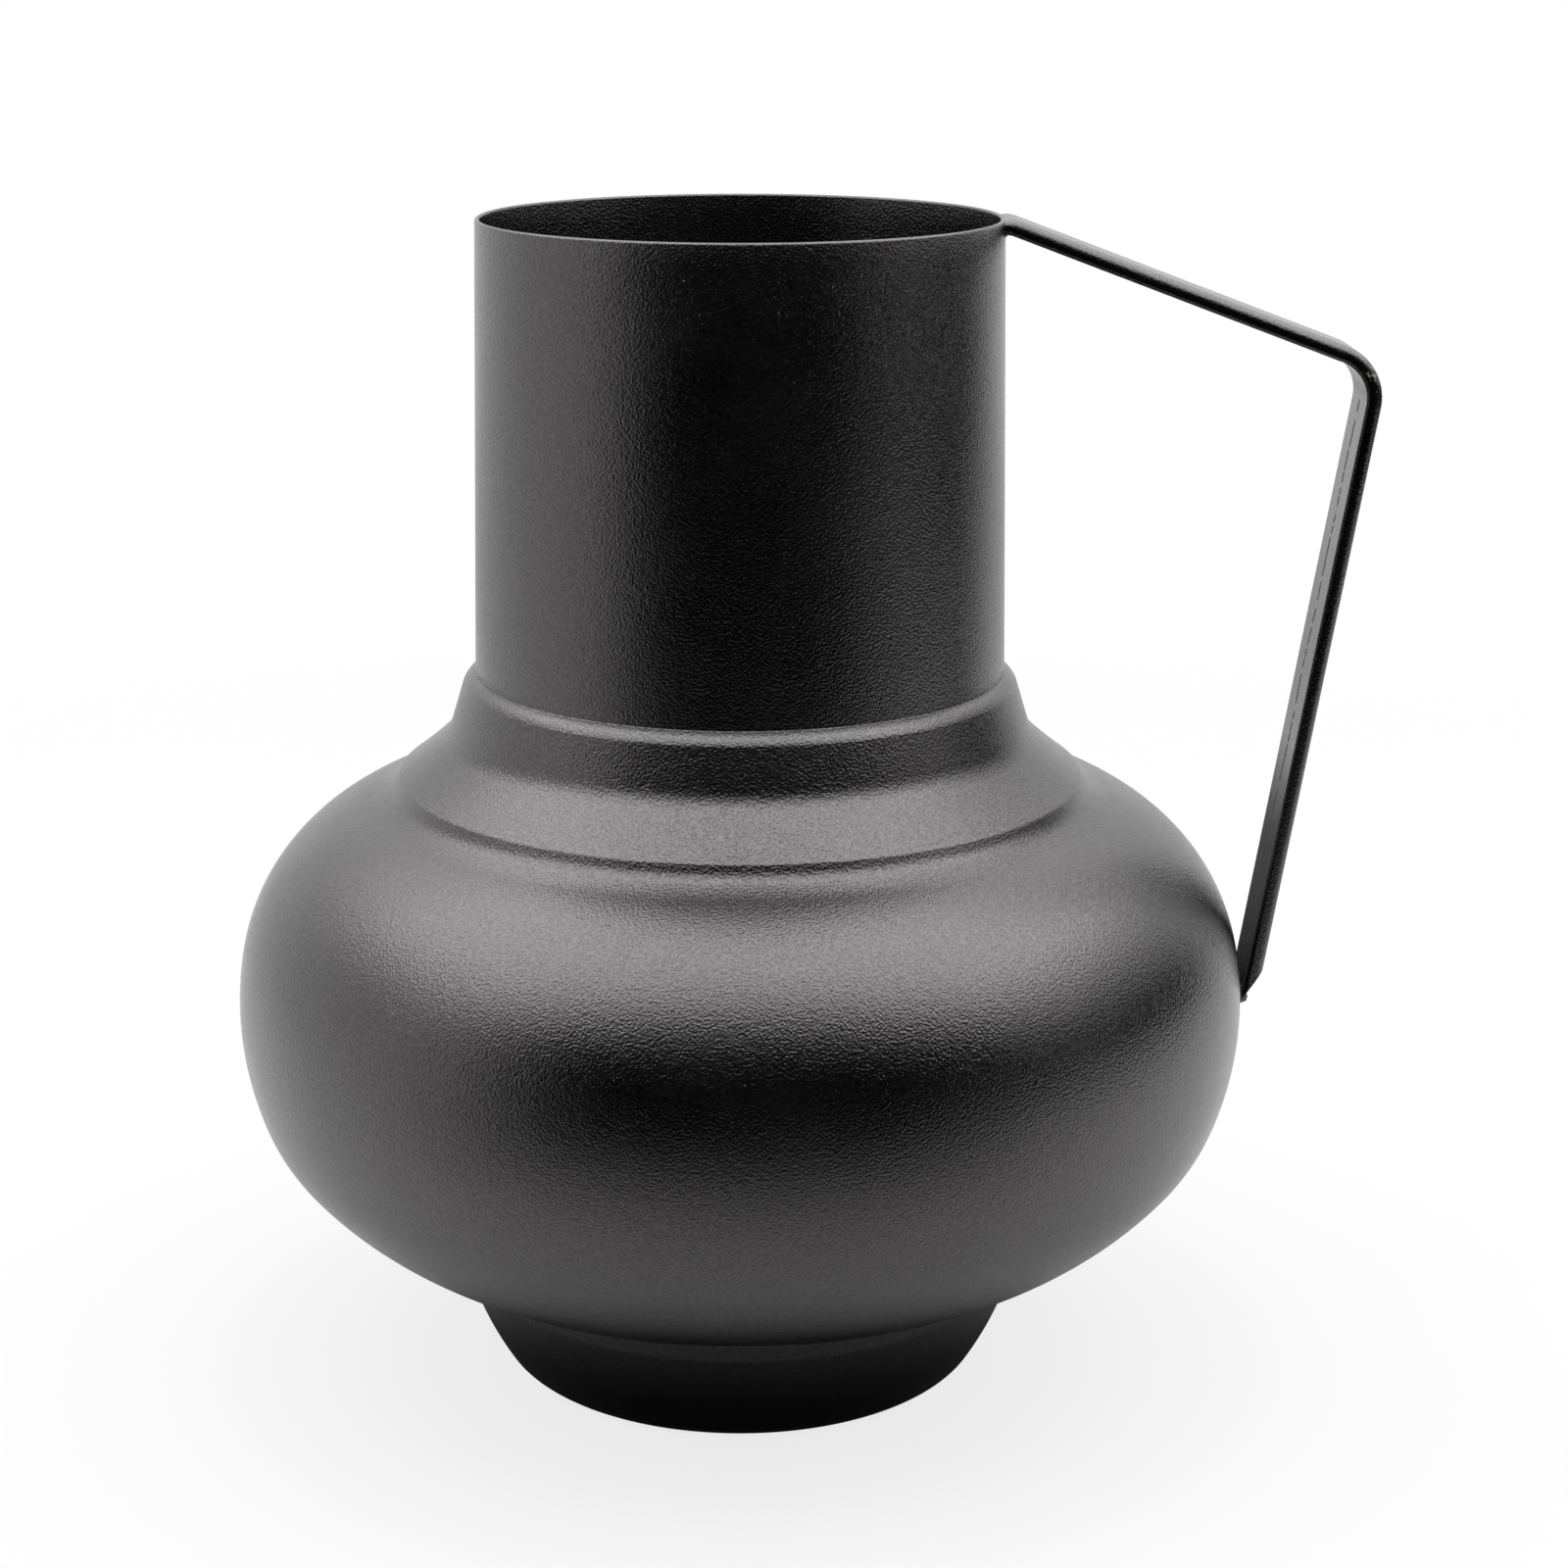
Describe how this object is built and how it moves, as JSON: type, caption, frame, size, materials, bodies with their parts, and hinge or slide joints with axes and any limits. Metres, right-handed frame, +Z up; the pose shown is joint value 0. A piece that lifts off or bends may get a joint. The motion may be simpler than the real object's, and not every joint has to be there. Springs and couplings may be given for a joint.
{
  "type": "jug vase",
  "caption": "Wide-bellied jug of black coated sheet steel with a tall straight neck, a stepped shoulder, a small foot and one flat strap handle bent at an angle from rim to belly.",
  "frame": {"origin": "centre of the foot's flat base, on the surface that the jug stands on", "axes": "+Z up the axis of the neck and belly, +X from that axis towards the strap handle, +Y across the strap's width, away from the picture's viewer"},
  "size_m": [0.289, 0.26, 0.3011],
  "materials": {
    "coated_sheet": "satin black powder coat with a fine orange-peel grain",
    "coated_bar": "satin black powder coat, rubbed thin at the bend and along the corners",
    "coated_weld": "satin black powder coat over a rough weld bead"
  },
  "bodies": {
    "root": {"neck_tube": "coated_sheet", "shoulder_collar": "coated_sheet", "belly_upper": "coated_sheet", "belly_lower": "coated_sheet", "foot_cup": "coated_sheet", "handle_strap": "coated_bar", "neck_weld": "coated_weld", "collar_weld": "coated_weld", "girth_weld": "coated_weld", "foot_weld": "coated_weld", "handle_rim_weld": "coated_weld", "handle_belly_weld": "coated_weld"}
  },
  "joints": []
}
